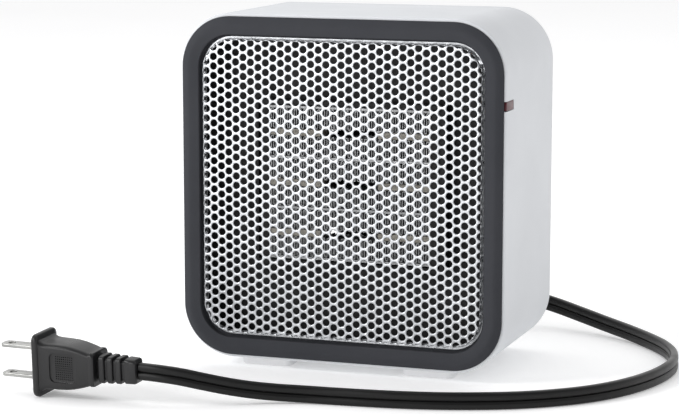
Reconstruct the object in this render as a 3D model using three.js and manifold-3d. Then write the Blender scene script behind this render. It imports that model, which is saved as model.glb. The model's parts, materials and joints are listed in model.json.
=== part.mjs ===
// Personal ceramic space heater: a rounded-square sleeve with a perforated front, a PTC element
// with a fan behind it, and a flat mains cord that lies round the front to its plug.
// Millimetres, +Z up. The origin is on the ground below the middle of the body, the front
// faces -Y and +X is the viewer's right.

import * as THREE from 'three';
import { mergeGeometries, mergeVertices } from 'three/addons/utils/BufferGeometryUtils.js';
import Module from 'manifold-3d';

const wasm = await Module();
wasm.setup();

// ---- driving dimensions ------------------------------------------------------------------

const BODY_WIDTH = 148;
const BODY_HEIGHT = 152.9;
const BODY_CORNER = 23.4;
const BODY_WALL = 2.6;
const FOOT_HEIGHT = 4.2;

const FRONT_Y = -41.1; // crown of the bezel
const RIM_Y = -38.7; // plane where the bezel meets the sleeve
const REAR_Y = 41.1; // rear rim of the sleeve

const GAP = 0.1; // between flat faces that rest on each other
const CLEARANCE = 0.3; // between pieces that fit into each other

const BEZEL_WIDTH = 146.2;
const BEZEL_HEIGHT = 150.2;
const BEZEL_CORNER = 22.5;
const BEZEL_CROWN = 2.2; // rounding of the outer edge
const OPENING_WIDTH = 130.4;
const OPENING_HEIGHT = 133.6;
const OPENING_CORNER = 15;

const GRILLE_Y = -39.9; // front of the grille sheet
const GRILLE_SHEET = 0.8;
const GRILLE_MARGIN = 0.8; // shadow gap to the bezel's opening
const GRILLE_RETURN = 2.8; // depth of the rolled edge
const GRILLE_FLANGE = 2.6; // width of the flange held behind the bezel

const FOOT_WIDTH = 23.5;
const FOOT_DEPTH = 12;
const FOOT_CENTRE_X = 37.5;
const FOOT_FRONT_Y = -32.2;
const FOOT_REAR_Y = 22;

const LENS_HEIGHT = 4;
const LENS_LENGTH = 11.4;
const LENS_CENTRE_Z = 120.5;

const COVER_Y = 33.4; // inner face of the rear cover, set back inside the sleeve
const COVER_SHEET = 2.6;
const SLOT_ROWS = 12;
const SLOT_PITCH = 7;
const SLOT_HEIGHT = 3.4;
const SLOT_LENGTH = 44;
const SLOT_CENTRE_X = 24.5;

const ELEMENT_HALF_WIDTH = 37.3;
const ELEMENT_BOTTOM = 48.2;
const ELEMENT_TOP = 116.2;
const ELEMENT_FRONT_Y = -26.9;
const ELEMENT_DEPTH = 15;
const CAP_WIDTH = 4;
const PLATE_SHEET = 1;
const STONE_HEIGHT = 2.8;
const STONE_LENGTH = 24;
const FIN_FOLDS = 17;
const FIN_SHEET = 0.45;

const FAN_RADIUS = 42;
const FAN_HUB_RADIUS = 13;
const FAN_DEPTH = 12;
const FAN_BLADES = 7;
const FAN_PITCH = THREE.MathUtils.degToRad(34);
const SHROUD_RADIUS = 44;
const DUCT_SIZE = 104;
const MOTOR_RADIUS = 15;
const SHAFT_RADIUS = 1.2;

const SWITCH_X = 44;
const SWITCH_Z = 133;
const SWITCH_WIDTH = 15;
const SWITCH_HEIGHT = 21;
const ROCKER_PIVOT_Y = 37;
const ROCKER_REST_TILT = THREE.MathUtils.degToRad(-7);

const CORD_WIDTH = 7.2; // flat twin flex, standing on its edge
const CORD_THICKNESS = 3.6;
const CORD_EXIT_X = 22;
const CORD_EXIT_Z = 19;
const BOOT_LENGTH = 26;

const BODY_BOTTOM = FOOT_HEIGHT;
const BODY_CENTRE_Z = BODY_BOTTOM + BODY_HEIGHT / 2;
const ELEMENT_CENTRE_Z = (ELEMENT_BOTTOM + ELEMENT_TOP) / 2;
const ELEMENT_BACK_Y = ELEMENT_FRONT_Y + ELEMENT_DEPTH;
const COVER_BACK_Y = COVER_Y + COVER_SHEET;

// ---- materials ---------------------------------------------------------------------------

function finish(color, roughness, metalness = 0) {
  return new THREE.MeshStandardMaterial({ color, roughness, metalness });
}

const white = finish(0xe9eaec, 0.42);
const charcoal = finish(0x47494d, 0.5);
const black = finish(0x1c1d1f, 0.55);
const silver = finish(0xc9ccd0, 0.32, 0.9);
const aluminium = finish(0xd6d8da, 0.35, 0.9);
const ceramic = finish(0x9b958c, 0.7);
const steel = finish(0x9fa2a6, 0.35, 0.9);
const lensRed = finish(0x5a1218, 0.2);
const lampAmber = finish(0xd98a4a, 0.15);
const nylon = finish(0xd8d4c8, 0.5);
const leadRed = finish(0x8c2f2a, 0.5);

// ---- solids ------------------------------------------------------------------------------

function toSolid(geometry) {
  const bare = geometry.clone();
  bare.deleteAttribute('normal');
  bare.deleteAttribute('uv');
  const merged = mergeVertices(bare, 1e-4);
  return new wasm.Manifold(new wasm.Mesh({
    numProp: 3,
    vertProperties: new Float32Array(merged.attributes.position.array),
    triVerts: new Uint32Array(merged.index.array),
  }));
}

function toGeometry(solid) {
  const mesh = solid.getMesh();
  const geometry = new THREE.BufferGeometry();
  geometry.setAttribute('position', new THREE.BufferAttribute(mesh.vertProperties, 3));
  geometry.setIndex(new THREE.BufferAttribute(mesh.triVerts, 1));
  geometry.computeVertexNormals();
  return geometry;
}

function join(...geometries) {
  return geometries.map(toSolid).reduce((whole, solid) => whole.add(solid));
}

function cut(solid, ...geometries) {
  return geometries.map(toSolid).reduce((whole, solid) => whole.subtract(solid), solid);
}

// Outline in the X-Z plane with rounded corners, centred on (x, z).
function roundedOutline(width, height, corner, x = 0, z = 0) {
  const right = width / 2 - corner;
  const top = height / 2 - corner;
  const shape = new THREE.Shape();
  shape.absarc(x + right, z + top, corner, 0, Math.PI / 2);
  shape.absarc(x - right, z + top, corner, Math.PI / 2, Math.PI);
  shape.absarc(x - right, z - top, corner, Math.PI, 1.5 * Math.PI);
  shape.absarc(x + right, z - top, corner, 1.5 * Math.PI, 2 * Math.PI);
  shape.closePath();
  return shape;
}

// An X-Z outline given depth from yFront to yBack; bevel rounds both rims inwards.
function slab(shape, yFront, yBack, { bevel = 0, bevelSegments = 1, curveSegments = 4 } = {}) {
  const geometry = new THREE.ExtrudeGeometry(shape, {
    depth: yBack - yFront - 2 * bevel,
    bevelEnabled: bevel > 0,
    bevelThickness: bevel,
    bevelSize: bevel,
    bevelOffset: -bevel,
    bevelSegments,
    curveSegments,
  });
  return geometry.rotateX(Math.PI / 2).translate(0, yBack - bevel, 0);
}

function box(x0, x1, y0, y1, z0, z1) {
  return new THREE.BoxGeometry(x1 - x0, y1 - y0, z1 - z0)
    .translate((x0 + x1) / 2, (y0 + y1) / 2, (z0 + z1) / 2);
}

// A solid of revolution about the Y axis through (x, z); profile holds [radius, y] pairs
// from the axis round to the axis again, or a closed loop of them.
function turned(profile, x, z, segments = 24) {
  const points = profile.map(([radius, y]) => new THREE.Vector2(radius, y));
  return new THREE.LatheGeometry(points, segments).translate(x, 0, z);
}

function rod(radius, yFront, yBack, x, z, segments = 16) {
  return turned([[0, yFront], [radius, yFront], [radius, yBack], [0, yBack]], x, z, segments);
}

function tubeRing(inner, outer, yFront, yBack, x, z, segments = 32) {
  const loop = [[inner, yFront], [outer, yFront], [outer, yBack], [inner, yBack], [inner, yFront]];
  return turned(loop, x, z, segments);
}

// ---- the model ---------------------------------------------------------------------------

const heater = new THREE.Group();

function place(name, shape, material) {
  const geometry = shape.isBufferGeometry ? shape : toGeometry(shape);
  const mesh = new THREE.Mesh(geometry, material);
  mesh.name = name;
  heater.add(mesh);
  return mesh;
}

function sleeveOutline(inset) {
  return roundedOutline(
    BODY_WIDTH - 2 * inset, BODY_HEIGHT - 2 * inset, BODY_CORNER - inset, 0, BODY_CENTRE_Z);
}

const BOSS_RADIUS = 5.8;
const BOSS_LENGTH = 14;
const BOSS_INSET = (BODY_CORNER - BODY_WALL - 5.2) * Math.SQRT1_2;
const BOSS_X = BODY_WIDTH / 2 - BODY_CORNER + BOSS_INSET;
const BOSS_DZ = BODY_HEIGHT / 2 - BODY_CORNER + BOSS_INSET;

function bossCentres() {
  return [[-1, -1], [1, -1], [-1, 1], [1, 1]]
    .map(([sx, sz]) => [sx * BOSS_X, BODY_CENTRE_Z + sz * BOSS_DZ]);
}

function addHousing() {
  const yFront = RIM_Y + CLEARANCE;
  const sleeve = toSolid(slab(sleeveOutline(0), yFront, REAR_Y, { bevel: 1 }));
  const hollow = slab(sleeveOutline(BODY_WALL), yFront - 5, REAR_Y + 5);
  const notch = box(
    BODY_WIDTH / 2 - 5, BODY_WIDTH / 2 + 5, yFront - 5, yFront + LENS_LENGTH + 2 * CLEARANCE,
    LENS_CENTRE_Z - LENS_HEIGHT / 2 - GAP, LENS_CENTRE_Z + LENS_HEIGHT / 2 + GAP);
  let shell = cut(sleeve, hollow, notch);
  for (const [x, z] of bossCentres()) {
    const yBack = COVER_Y - GAP;
    shell = shell.add(toSolid(rod(BOSS_RADIUS, yBack - BOSS_LENGTH, yBack, x, z)));
    shell = cut(shell, rod(1.8, yBack - BOSS_LENGTH + 2, yBack + 1, x, z, 12));
  }
  place('housing_shell', shell, white);
}

function addBezel() {
  const outline = roundedOutline(BEZEL_WIDTH, BEZEL_HEIGHT, BEZEL_CORNER, 0, BODY_CENTRE_Z);
  const crowned = toSolid(slab(outline, FRONT_Y, FRONT_Y + 12, { bevel: BEZEL_CROWN, bevelSegments: 3 }));
  const flange = cut(crowned, box(-100, 100, RIM_Y, 0, -10, 200));
  const skirt = cut(
    toSolid(slab(sleeveOutline(BODY_WALL + CLEARANCE), RIM_Y - 1, RIM_Y + 7)),
    slab(sleeveOutline(BODY_WALL + CLEARANCE + 2.4), RIM_Y - 2, RIM_Y + 8));
  const opening = roundedOutline(OPENING_WIDTH, OPENING_HEIGHT, OPENING_CORNER, 0, BODY_CENTRE_Z);
  place('front_bezel', cut(flange.add(skirt), slab(opening, FRONT_Y - 5, RIM_Y + 20)), charcoal);
}

function addGrille() {
  const panOutline = (grow) => roundedOutline(
    OPENING_WIDTH - 2 * GRILLE_MARGIN + 2 * grow, OPENING_HEIGHT - 2 * GRILLE_MARGIN + 2 * grow,
    OPENING_CORNER - GRILLE_MARGIN + grow, 0, BODY_CENTRE_Z);
  const yBack = GRILLE_Y + GRILLE_RETURN;
  const flangeFront = RIM_Y + CLEARANCE;
  const pan = slab(panOutline(0), GRILLE_Y, yBack, { bevel: 0.6 });
  const flange = slab(panOutline(GRILLE_FLANGE), flangeFront, flangeFront + GRILLE_SHEET);
  const hollow = slab(panOutline(-GRILLE_SHEET), GRILLE_Y + GRILLE_SHEET, yBack + 5);
  place('front_grille', cut(join(pan, flange), hollow), silver);
}

function addIndicator() {
  const yFront = RIM_Y + 2 * CLEARANCE;
  place('indicator_lens', box(
    BODY_WIDTH / 2 - BODY_WALL, BODY_WIDTH / 2 - 0.05, yFront, yFront + LENS_LENGTH,
    LENS_CENTRE_Z - LENS_HEIGHT / 2, LENS_CENTRE_Z + LENS_HEIGHT / 2), lensRed);
  const bulb = [[0, -4.5], [2.1, -4.5], [2.1, 2.6], [1.5, 3.9], [0, 4.5]];
  const lamp = place('indicator_lamp', turned(bulb, 0, 0, 12), lampAmber);
  lamp.rotation.z = -Math.PI / 2;
  lamp.position.set(BODY_WIDTH / 2 - BODY_WALL - 6, yFront + LENS_LENGTH / 2 + 3, LENS_CENTRE_Z);
}

function addFoot(name, x, yFront) {
  const shape = roundedOutline(FOOT_WIDTH, FOOT_DEPTH, 3.6);
  const bevel = 0.7;
  const foot = new THREE.ExtrudeGeometry(shape, {
    depth: FOOT_HEIGHT - GAP - 2 * bevel,
    bevelThickness: bevel,
    bevelSize: bevel,
    bevelOffset: -bevel,
    bevelSegments: 2,
    curveSegments: 3,
  });
  const mesh = place(name, foot, white);
  mesh.position.set(x, yFront + FOOT_DEPTH / 2, bevel);
}

function addFeet() {
  for (const [side, sign] of [['left', -1], ['right', 1]]) {
    addFoot(`foot_front_${side}`, sign * FOOT_CENTRE_X, FOOT_FRONT_Y);
    addFoot(`foot_rear_${side}`, sign * FOOT_CENTRE_X, FOOT_REAR_Y);
  }
}

function addRearCover() {
  const outline = sleeveOutline(BODY_WALL + CLEARANCE);
  const through = [COVER_Y - 2, COVER_BACK_Y + 2];
  let cover = toSolid(slab(outline, COVER_Y, COVER_BACK_Y));
  for (let row = 0; row < SLOT_ROWS; row += 1) {
    const z = ELEMENT_CENTRE_Z + (row - (SLOT_ROWS - 1) / 2) * SLOT_PITCH;
    for (const sign of [-1, 1]) {
      const x = sign * SLOT_CENTRE_X;
      cover = cut(cover, box(x - SLOT_LENGTH / 2, x + SLOT_LENGTH / 2, ...through,
        z - SLOT_HEIGHT / 2, z + SLOT_HEIGHT / 2));
    }
  }
  for (const [x, z] of bossCentres()) {
    cover = cut(cover, rod(2, ...through, x, z), rod(3.7, COVER_BACK_Y - 1.2, through[1], x, z, 20));
  }
  const switchHole = box(
    SWITCH_X - SWITCH_WIDTH / 2 + 1, SWITCH_X + SWITCH_WIDTH / 2 - 1, ...through,
    SWITCH_Z - SWITCH_HEIGHT / 2 + 1, SWITCH_Z + SWITCH_HEIGHT / 2 - 1);
  cover = cut(cover, switchHole, rod(6.3, ...through, CORD_EXIT_X, CORD_EXIT_Z, 24));
  place('rear_cover', cover, white);
}

function addRearScrews() {
  bossCentres().forEach(([x, z], index) => {
    const seat = COVER_BACK_Y - 1.2 + GAP;
    const profile = [
      [0, COVER_Y - 10], [1.4, COVER_Y - 10], [1.5, COVER_Y - 8], [1.5, seat],
      [3.3, seat], [3.3, seat + 0.9], [2.2, seat + 1.6], [0, seat + 1.8],
    ];
    place(`rear_screw_${index + 1}`, turned(profile, x, z, 16), steel);
  });
}

// The dark baffle behind the front: a full-size plate, a collar round the element, and a
// square tube that takes the air from the fan's shroud to the element.
function addAirDuct() {
  const plateY = -20;
  const collarHalf = ELEMENT_HALF_WIDTH + CAP_WIDTH + 2 * CLEARANCE;
  const collarBottom = ELEMENT_BOTTOM - 2 * CLEARANCE;
  const collarTop = ELEMENT_TOP + 2 * CLEARANCE;
  const wall = 2;
  const half = DUCT_SIZE / 2;
  const collar = box(
    -collarHalf - wall, collarHalf + wall, ELEMENT_FRONT_Y - 1, plateY + 1,
    collarBottom - wall, collarTop + wall);
  const tube = box(
    -half, half, plateY + 1, -6, ELEMENT_CENTRE_Z - half, ELEMENT_CENTRE_Z + half);
  const plate = slab(sleeveOutline(BODY_WALL + 1), plateY, plateY + 2.4);
  const passage = box(
    -collarHalf, collarHalf, ELEMENT_FRONT_Y - 5, plateY + 5, collarBottom, collarTop);
  const tubeHollow = box(
    -half + wall, half - wall, plateY + 2.4, 5,
    ELEMENT_CENTRE_Z - half + wall, ELEMENT_CENTRE_Z + half - wall);
  place('air_duct', cut(join(plate, collar, tube), passage, tubeHollow), charcoal);
}

// A ribbon folded back and forth between two plates, with its width along Y.
function finRibbon(height) {
  const pitch = (2 * ELEMENT_HALF_WIDTH - FIN_SHEET) / FIN_FOLDS;
  const slant = pitch * 0.5;
  const amplitude = height - FIN_SHEET;
  const upper = [];
  const lower = [];
  const shift = FIN_SHEET * Math.hypot(1, slant / amplitude);
  for (let fold = 0; fold <= 2 * FIN_FOLDS; fold += 1) {
    const x = -ELEMENT_HALF_WIDTH + FIN_SHEET / 2 + fold * slant;
    const z = fold % 2 === 0 ? 0 : amplitude;
    const rise = fold % 2 === 0 ? FIN_SHEET : -FIN_SHEET;
    const width = shift / 2;
    upper.push(new THREE.Vector2(x, fold % 2 === 0 ? z + rise + width : z + FIN_SHEET));
    lower.push(new THREE.Vector2(x, fold % 2 === 0 ? z : z + FIN_SHEET + rise - width));
  }
  return new THREE.Shape([...lower, ...upper.reverse()]);
}

function addElement() {
  const yFront = ELEMENT_FRONT_Y;
  const yBack = ELEMENT_BACK_Y;
  const half = ELEMENT_HALF_WIDTH;
  const layers = ['plate', 'fin', 'stone', 'fin', 'plate', 'fin', 'stone', 'fin', 'plate',
    'fin', 'stone', 'fin', 'plate'];
  const fixed = 4 * PLATE_SHEET + 3 * STONE_HEIGHT + (layers.length - 1) * GAP;
  const finHeight = (ELEMENT_TOP - ELEMENT_BOTTOM - fixed) / 6;
  const count = { plate: 0, fin: 0, stone: 0 };
  let top = ELEMENT_TOP;
  for (const layer of layers) {
    count[layer] += 1;
    const number = count[layer];
    if (layer === 'plate') {
      const tabX = number % 2 === 0 ? 20 : -20;
      const strip = box(-half, half, yFront, yBack, top - PLATE_SHEET, top);
      const tab = box(tabX - 3.1, tabX + 3.1, yBack - 1, yBack + 7, top - PLATE_SHEET, top);
      place(`contact_plate_${number}`, join(strip, tab), aluminium);
      top -= PLATE_SHEET + GAP;
    } else if (layer === 'fin') {
      const fin = slab(finRibbon(finHeight), yFront + 0.4, yBack - 0.4);
      place(`fin_pack_${number}`, fin.translate(0, 0, top - finHeight), aluminium);
      top -= finHeight + GAP;
    } else {
      for (const [side, sign] of [['left', -1], ['right', 1]]) {
        const x = sign * (half - STONE_LENGTH / 2);
        place(`ptc_stone_${number}_${side}`, box(
          x - STONE_LENGTH / 2, x + STONE_LENGTH / 2, yFront + 0.2, yBack - 0.2,
          top - STONE_HEIGHT, top), ceramic);
      }
      top -= STONE_HEIGHT + GAP;
    }
  }
  for (const [side, sign] of [['left', -1], ['right', 1]]) {
    const inner = sign * (half + CLEARANCE);
    const outer = sign * (half + CAP_WIDTH);
    place(`element_cap_${side}`, box(
      Math.min(inner, outer), Math.max(inner, outer), yFront, yBack,
      ELEMENT_BOTTOM, ELEMENT_TOP), black);
  }
}

function addShroud() {
  const z = ELEMENT_CENTRE_Z;
  const plateY = -6 + CLEARANCE;
  const ringBack = 18;
  const half = DUCT_SIZE / 2;
  const cupInner = MOTOR_RADIUS + CLEARANCE;
  const plate = cut(
    toSolid(box(-half, half, plateY, plateY + 2, z - half, z + half)),
    rod(SHROUD_RADIUS, plateY - 1, plateY + 3, 0, z, 32));
  const ring = tubeRing(SHROUD_RADIUS, SHROUD_RADIUS + 2, plateY + 1, ringBack, 0, z);
  const cup = tubeRing(cupInner, cupInner + 2, ringBack - 4, ringBack + 6, 0, z, 24);
  let shroud = plate.add(toSolid(ring)).add(toSolid(cup));
  for (let arm = 0; arm < 4; arm += 1) {
    const length = SHROUD_RADIUS + 1 - cupInner - 1;
    const strut = new THREE.BoxGeometry(length, 4, 4)
      .translate(cupInner + 1 + length / 2, ringBack - 2, 0)
      .rotateY(Math.PI / 4 + (arm * Math.PI) / 2)
      .translate(0, 0, z);
    shroud = shroud.add(toSolid(strut));
  }
  place('fan_shroud', shroud, charcoal);
}

// One fan blade: a thin plate from hub to tip, swept and twisted so that it lies flatter
// towards the tip.
function fanBlade() {
  const root = FAN_HUB_RADIUS - 1.5;
  const span = FAN_RADIUS - root;
  const blade = new THREE.BoxGeometry(span, 1.4, 1, 5, 1, 4);
  const position = blade.attributes.position;
  for (let i = 0; i < position.count; i += 1) {
    const radius = root + span / 2 + position.getX(i);
    const along = (radius - root) / span;
    const chord = THREE.MathUtils.lerp(15, 24, along);
    const pitch = FAN_PITCH * THREE.MathUtils.lerp(1.15, 0.62, along);
    const across = position.getZ(i) * chord;
    const camber = 0.05 * (chord - (4 * across * across) / chord);
    const angle = (across * Math.cos(pitch)) / radius;
    const y = across * Math.sin(pitch) + position.getY(i) + camber - 0.5;
    position.setXYZ(i, radius * Math.cos(angle), y, radius * Math.sin(angle));
  }
  return blade;
}

function addFan() {
  const z = ELEMENT_CENTRE_Z;
  const bore = SHAFT_RADIUS + 0.15;
  const hub = [
    [0, 0], [FAN_HUB_RADIUS - 1.5, 0], [FAN_HUB_RADIUS, 1.5], [FAN_HUB_RADIUS, FAN_DEPTH],
    [0, FAN_DEPTH],
  ];
  let impeller = toSolid(turned(hub, 0, 0, 28));
  for (let blade = 0; blade < FAN_BLADES; blade += 1) {
    const turn = (blade * 2 * Math.PI) / FAN_BLADES;
    impeller = impeller.add(toSolid(fanBlade().translate(0, FAN_DEPTH / 2, 0).rotateY(turn)));
  }
  const hollow = tubeRing(4, FAN_HUB_RADIUS - 2, 2.5, FAN_DEPTH + 5, 0, 0, 28);
  impeller = cut(impeller, hollow, rod(bore, -5, FAN_DEPTH + 5, 0, 0, 16));
  place('fan_impeller', toGeometry(impeller).translate(0, 0, z), black);
  place('motor_shaft', rod(SHAFT_RADIUS, -3, FAN_DEPTH + 6, 0, z, 12), steel);
  const clip = [[bore, -1.5], [2.6, -1.5], [3.4, -0.5], [3.4, -0.2], [bore, -0.2], [bore, -1.5]];
  place('hub_clip', turned(clip, 0, z, 16), steel);

  const front = FAN_DEPTH + 1.6;
  const can = [
    [0, front + 17.5], [MOTOR_RADIUS, front + 17.5], [MOTOR_RADIUS, front + 1],
    [MOTOR_RADIUS - 1, front], [SHAFT_RADIUS + 0.2, front], [SHAFT_RADIUS + 0.2, front + 6],
    [0, front + 6],
  ].reverse();
  place('fan_motor', turned(can, 0, z, 24), steel);
}

function addSafetyDevices() {
  const cutoff = [[0, -17.3], [7.9, -17.3], [7.9, -13], [6, -12.4], [6, -8], [0, -8]];
  place('thermal_cutoff', turned(cutoff, 61.5, 96, 20), steel);
  const fuse = new THREE.CylinderGeometry(1.9, 1.9, 12, 12);
  const fuseMesh = place('thermal_fuse', fuse, steel);
  fuseMesh.rotation.x = Math.PI / 2;
  fuseMesh.position.set(-60, -14, 88);
  place('tip_over_switch', join(
    box(-42, -26, 2, 16, 8, 27), box(-46, -22, 2, 16, BODY_BOTTOM + BODY_WALL + GAP, 9)), nylon);
  const block = join(
    box(10, 40, -2, 10, BODY_BOTTOM + BODY_WALL + GAP, 14), box(14, 36, 0, 8, 13, 21));
  place('terminal_block', block, nylon);
}

function addSwitch() {
  const halfW = SWITCH_WIDTH / 2;
  const halfH = SWITCH_HEIGHT / 2;
  const flangeBack = COVER_BACK_Y + GAP + 1.6;
  const body = box(
    SWITCH_X - halfW + 1.2, SWITCH_X + halfW - 1.2, COVER_Y - 13, COVER_BACK_Y + 1,
    SWITCH_Z - halfH + 1.2, SWITCH_Z + halfH - 1.2);
  const flange = box(
    SWITCH_X - halfW, SWITCH_X + halfW, COVER_BACK_Y + GAP, flangeBack,
    SWITCH_Z - halfH, SWITCH_Z + halfH);
  const well = box(
    SWITCH_X - halfW + 1.7, SWITCH_X + halfW - 1.7, COVER_Y - 3, flangeBack + 2,
    SWITCH_Z - halfH + 1.9, SWITCH_Z + halfH - 1.9);
  place('switch_body', cut(join(body, flange), well), black);

  // The cap's profile, seen from the side: x away from the cover, y up. Its face is a shallow
  // vee, and its foot is narrow enough to swing inside the well.
  const reach = halfH - 2.4;
  const profile = new THREE.Shape([
    new THREE.Vector2(-4, -3.5), new THREE.Vector2(0.4, -reach), new THREE.Vector2(2.6, -reach),
    new THREE.Vector2(1.1, 0), new THREE.Vector2(2.6, reach), new THREE.Vector2(0.4, reach),
    new THREE.Vector2(-4, 3.5),
  ]);
  const capWidth = SWITCH_WIDTH - 4;
  const cap = new THREE.ExtrudeGeometry(profile, { depth: capWidth, bevelEnabled: false })
    .translate(0, 0, -capWidth / 2)
    .applyMatrix4(new THREE.Matrix4().makeBasis(
      new THREE.Vector3(0, 1, 0), new THREE.Vector3(0, 0, 1), new THREE.Vector3(1, 0, 0)));
  const rocker = place('power_rocker', cap, black);
  rocker.rotation.x = ROCKER_REST_TILT;
  rocker.position.set(SWITCH_X, ROCKER_PIVOT_Y, SWITCH_Z);
}

// ---- leads, cord and plug ----------------------------------------------------------------

function sweep(section, points, steps) {
  const curve = new THREE.CatmullRomCurve3(
    points.map(([x, y, z]) => new THREE.Vector3(x, y, z)), false, 'centripetal');
  return new THREE.ExtrudeGeometry(section, { steps, extrudePath: curve, bevelEnabled: false });
}

function polygon(radiusX, radiusY, sides) {
  const corners = Array.from({ length: sides }, (_, i) => {
    const angle = ((i + 0.5) * 2 * Math.PI) / sides;
    return new THREE.Vector2(radiusX * Math.cos(angle), radiusY * Math.sin(angle));
  });
  return new THREE.Shape(corners);
}

function addLeads() {
  const wire = polygon(1.1, 1.1, 6);
  place('lead_switch', sweep(wire, [
    [34, 9.5, 18], [34, 15, 19], [50, 20, 24], [62, 22, 40], [64, 22, 80], [60, 20, 110],
    [48, 16, 119], [44, 16, 121],
  ], 26), black);
  place('lead_cutoff', sweep(wire, [
    [47, 16, 122], [56, 12, 119], [63, 4, 112], [63, -3, 102], [61.5, -5, 96], [61.5, -7, 96],
  ], 16), leadRed);
  place('lead_fuse', sweep(wire, [
    [-60, -14, 81.5], [-60, -14, 74], [-61, -8, 58], [-60, 0, 42], [-52, 7, 33], [-40, 9, 30.5],
    [-34.3, 9, 29.2], [-34, 9, 28],
  ], 20), leadRed);
}

// The cord's route from the boot on the rear cover, round the right side and along the front
// to the plug. It leaves the boot level, comes down to the ground behind the heater and rises
// again to the plug.
const CORD_LIE = CORD_WIDTH / 2 + 0.1;
const CORD_ROUTE = [
  [22, 62.4, 19], [22.6, 68.3, 18.9], [24.6, 74.5, 18.5], [30.8, 83.5, 17.4], [40.5, 90, 15.9],
  [52, 92.3, 13.6], [64, 91.4, 11], [76.8, 87, 8.4], [91.5, 79.6, 5.9], [105.5, 69.8, 4.4],
  [117.4, 58, CORD_LIE], [127, 44.2, CORD_LIE], [133.8, 29, CORD_LIE], [136.9, 13.4, CORD_LIE],
  [136.2, -4, CORD_LIE], [132, -22, CORD_LIE], [124.5, -39.4, CORD_LIE], [114.6, -53.6, CORD_LIE],
  [102.3, -65.2, CORD_LIE], [88.4, -74.5, CORD_LIE], [73.6, -81.2, CORD_LIE],
  [58.9, -86, CORD_LIE], [44, -89.2, CORD_LIE], [30, -91, CORD_LIE], [16, -92.2, CORD_LIE],
  [3.1, -94.1, 4], [-7.4, -98, 4.8], [-16.9, -102.8, 6.2], [-25.9, -107.8, 8.2],
  [-34.3, -112.5, 10.5], [-42.7, -116.1, 12.6], [-51.5, -117.8, 13.7], [-60, -117.75, 14],
];

function addCord() {
  const half = CORD_WIDTH / 2;
  const profile = [
    [6, COVER_Y - 4], [6, COVER_BACK_Y + GAP], [7.6, COVER_BACK_Y + GAP],
    [7.6, COVER_BACK_Y + 2.2], [6.2, COVER_BACK_Y + 3.4], [4.5, COVER_BACK_Y + BOOT_LENGTH],
  ];
  const boot = turned(
    [[0, COVER_Y - 4], ...profile, [0, COVER_BACK_Y + BOOT_LENGTH]], CORD_EXIT_X, CORD_EXIT_Z, 20);
  place('cord_boot', boot, black);
  // The swept section starts with its first axis upright, so the flat cord stands on its edge.
  const section = polygon(half, CORD_THICKNESS / 2, 10);
  place('power_cord', sweep(section, CORD_ROUTE, 44), black);
}

const PLUG_END = new THREE.Vector3(-60.3, -117.7, 14); // face that the cord enters
const PLUG_TURN = THREE.MathUtils.degToRad(-4); // about +Z
const PLUG_ROLL = THREE.MathUtils.degToRad(3); // about its own length, onto one corner
const PLUG_LENGTH = 46.5;
const FLANGE_HEIGHT = 27;
const FLANGE_WIDTH = 17.8;
const FLANGE_SHEET = 3;
const BLADE_SPACING = 12.7;
const BLADE_OUT = 18.3;

// The plug points along -X in its own frame, with the cord's end at the origin.
function addPlug() {
  const flangeShape = roundedOutline(FLANGE_WIDTH, FLANGE_HEIGHT, 3.5);
  const flange = new THREE.ExtrudeGeometry(
    flangeShape, { depth: FLANGE_SHEET, bevelEnabled: false, curveSegments: 1 })
    .applyMatrix4(new THREE.Matrix4().makeBasis(
      new THREE.Vector3(0, 1, 0), new THREE.Vector3(0, 0, 1), new THREE.Vector3(1, 0, 0)))
    .translate(-PLUG_LENGTH, 0, 0);
  const outline = new THREE.Shape([
    [-PLUG_LENGTH + 1, -9.9], [-31, -9.6], [-18.2, -7.3], [-17.8, -5.8], [0, -5.2],
    [0, 5.2], [-17.8, 5.8], [-18.2, 7.3], [-31, 9.6], [-PLUG_LENGTH + 1, 9.9],
  ].map(([x, y]) => new THREE.Vector2(x, y)));
  const depth = 15.6;
  const bodySlab = new THREE.ExtrudeGeometry(outline, { depth, bevelEnabled: false })
    .rotateX(Math.PI / 2)
    .translate(0, depth / 2, 0);
  const taper = new THREE.Shape([
    [-PLUG_LENGTH, -7.7], [-24, -7], [-18.2, -6.7], [-17.8, -4.3], [0.5, -3.7], [0.5, 3.7],
    [-17.8, 4.3], [-18.2, 6.7], [-24, 7], [-PLUG_LENGTH, 7.7],
  ].map(([x, y]) => new THREE.Vector2(x, y)));
  const taperSlab = new THREE.ExtrudeGeometry(taper, { depth: 40, bevelEnabled: false })
    .translate(0, 0, -20);
  let body = toSolid(bodySlab).intersect(toSolid(taperSlab)).add(toSolid(flange));
  const group = new THREE.Group();
  group.position.copy(PLUG_END);
  group.rotation.set(PLUG_ROLL, 0, PLUG_TURN, 'ZYX');
  heater.add(group);

  const bladeFront = -PLUG_LENGTH - BLADE_OUT;
  for (const [name, sign] of [['upper', 1], ['lower', -1]]) {
    const z = (sign * BLADE_SPACING) / 2;
    const pocket = new THREE.BoxGeometry(7, 6.9, 2.1).translate(-PLUG_LENGTH + 3, 0, z);
    body = cut(body, pocket);
    const length = BLADE_OUT + 6;
    const blade = toSolid(new THREE.BoxGeometry(length, 6.3, 1.5)
      .translate(bladeFront + length / 2, 0, z));
    const hole = new THREE.CylinderGeometry(1.6, 1.6, 4, 16)
      .rotateX(Math.PI / 2)
      .translate(bladeFront + 4.2, 0, z);
    const mesh = place(`plug_blade_${name}`, cut(blade, hole), steel);
    group.add(mesh);
  }
  group.add(place('plug_body', body, black));
}

addHousing();
addBezel();
addGrille();
addIndicator();
addFeet();
addRearCover();
addRearScrews();
addAirDuct();
addElement();
addShroud();
addFan();
addSafetyDevices();
addSwitch();
addLeads();
addCord();
addPlug();

export default heater;
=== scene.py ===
"""Looks of the small ceramic space heater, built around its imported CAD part.

Metres, +Z up, the front faces -Y. Every place comes from the CAD boxes or from the few
driving dimensions named below.
"""

import json
import math

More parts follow.
